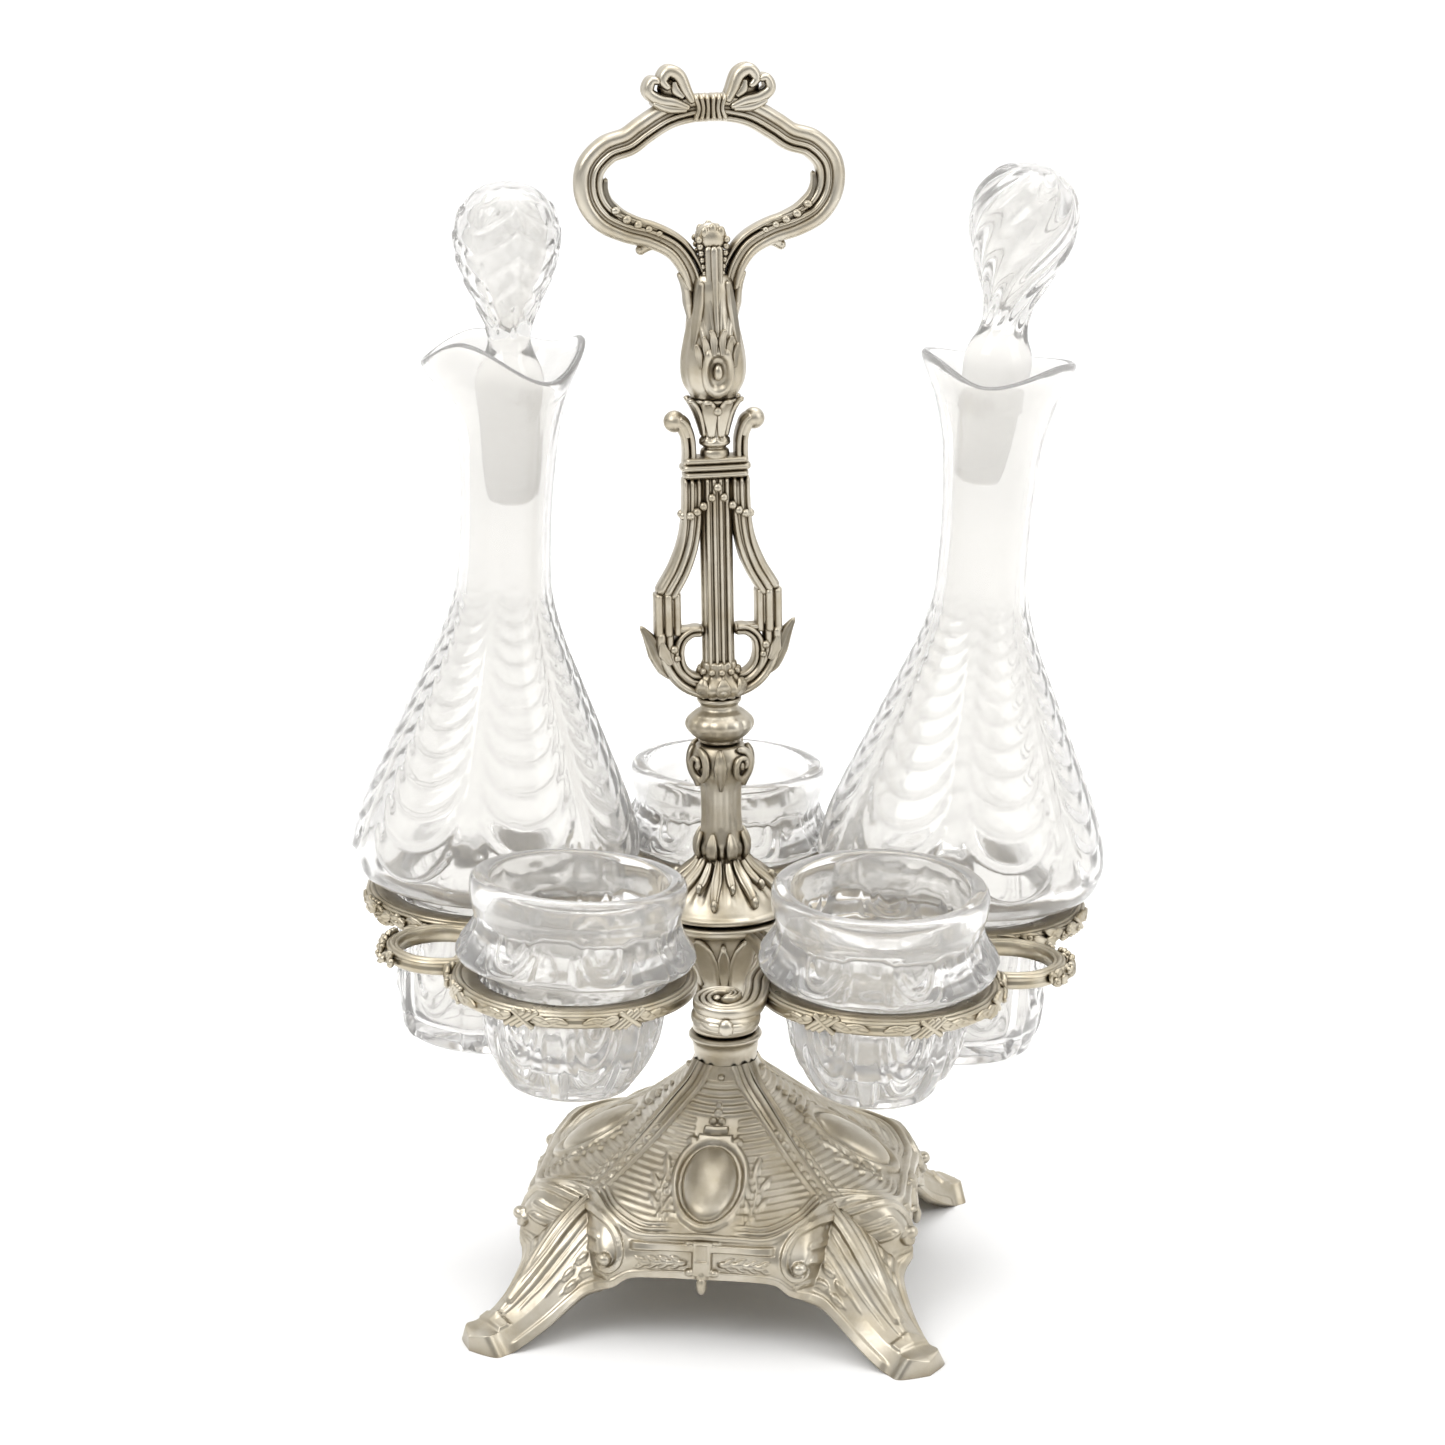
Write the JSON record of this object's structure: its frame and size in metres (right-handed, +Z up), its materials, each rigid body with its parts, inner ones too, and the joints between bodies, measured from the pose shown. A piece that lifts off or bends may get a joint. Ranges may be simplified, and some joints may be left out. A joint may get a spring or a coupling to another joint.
{
  "type": "cruet set",
  "caption": "Cast metal cruet stand with a loop handle, glass carafes with stoppers, and open glass cups seated in a ring frame.",
  "frame": {"origin": "middle of the footprint, on the surface that the stand rests on", "axes": "+Z up, +Y towards the rear cup, +X towards the right carafe"},
  "size_m": [0.2308, 0.1984, 0.3676],
  "materials": {
    "cast_metal": "cast white metal with a worn silvered surface and dark patina in the recesses",
    "plain_steel": "plain turned steel",
    "pressed_glass": "clear pressed glass with moulded festoons and ribs"
  },
  "bodies": {
    "stand": {"base_casting": "cast_metal", "base_collar": "cast_metal", "frame_hub": "cast_metal", "front_scroll_boss": "cast_metal", "ring_left_carafe": "cast_metal", "ring_right_carafe": "cast_metal", "ring_front_left_cup": "cast_metal", "ring_front_right_cup": "cast_metal", "ring_rear_cup": "cast_metal", "stopper_ring_left": "cast_metal", "stopper_ring_right": "cast_metal", "lower_stem": "cast_metal", "stem_knop": "cast_metal", "lyre": "cast_metal", "lyre_cap": "cast_metal", "vase": "cast_metal", "loop_handle": "cast_metal", "tie_rod": "plain_steel", "tie_washer": "plain_steel", "tie_nut": "plain_steel"},
    "left_carafe": {"carafe_left": "pressed_glass"},
    "right_carafe": {"carafe_right": "pressed_glass"},
    "left_stopper": {"stopper_left": "pressed_glass"},
    "right_stopper": {"stopper_right": "pressed_glass"},
    "front_left_cup": {"cup_front_left": "pressed_glass"},
    "front_right_cup": {"cup_front_right": "pressed_glass"},
    "rear_cup": {"cup_rear": "pressed_glass"}
  },
  "joints": [
    {"name": "carafe_left_lift", "type": "slide", "parent": "stand", "child": "left_carafe", "axis": [0.0471, 0, 0.9989], "range_m": [0, 0.055]},
    {"name": "carafe_right_lift", "type": "slide", "parent": "stand", "child": "right_carafe", "axis": [0.0558, 0, 0.9984], "range_m": [0, 0.055]},
    {"name": "stopper_left_pull", "type": "slide", "parent": "left_carafe", "child": "left_stopper", "axis": [-0.0052, 0, 1], "range_m": [0, 0.06]},
    {"name": "stopper_right_pull", "type": "slide", "parent": "right_carafe", "child": "right_stopper", "axis": [0.1599, 0, 0.9871], "range_m": [0, 0.06]},
    {"name": "cup_front_left_lift", "type": "slide", "parent": "stand", "child": "front_left_cup", "axis": [0.0558, 0.0436, 0.9975], "range_m": [0, 0.04]},
    {"name": "cup_front_right_lift", "type": "slide", "parent": "stand", "child": "front_right_cup", "axis": [0.0139, -0.061, 0.998], "range_m": [0, 0.04]},
    {"name": "cup_rear_lift", "type": "slide", "parent": "stand", "child": "rear_cup", "axis": [0.0262, 0, 0.9997], "range_m": [0, 0.04]}
  ]
}
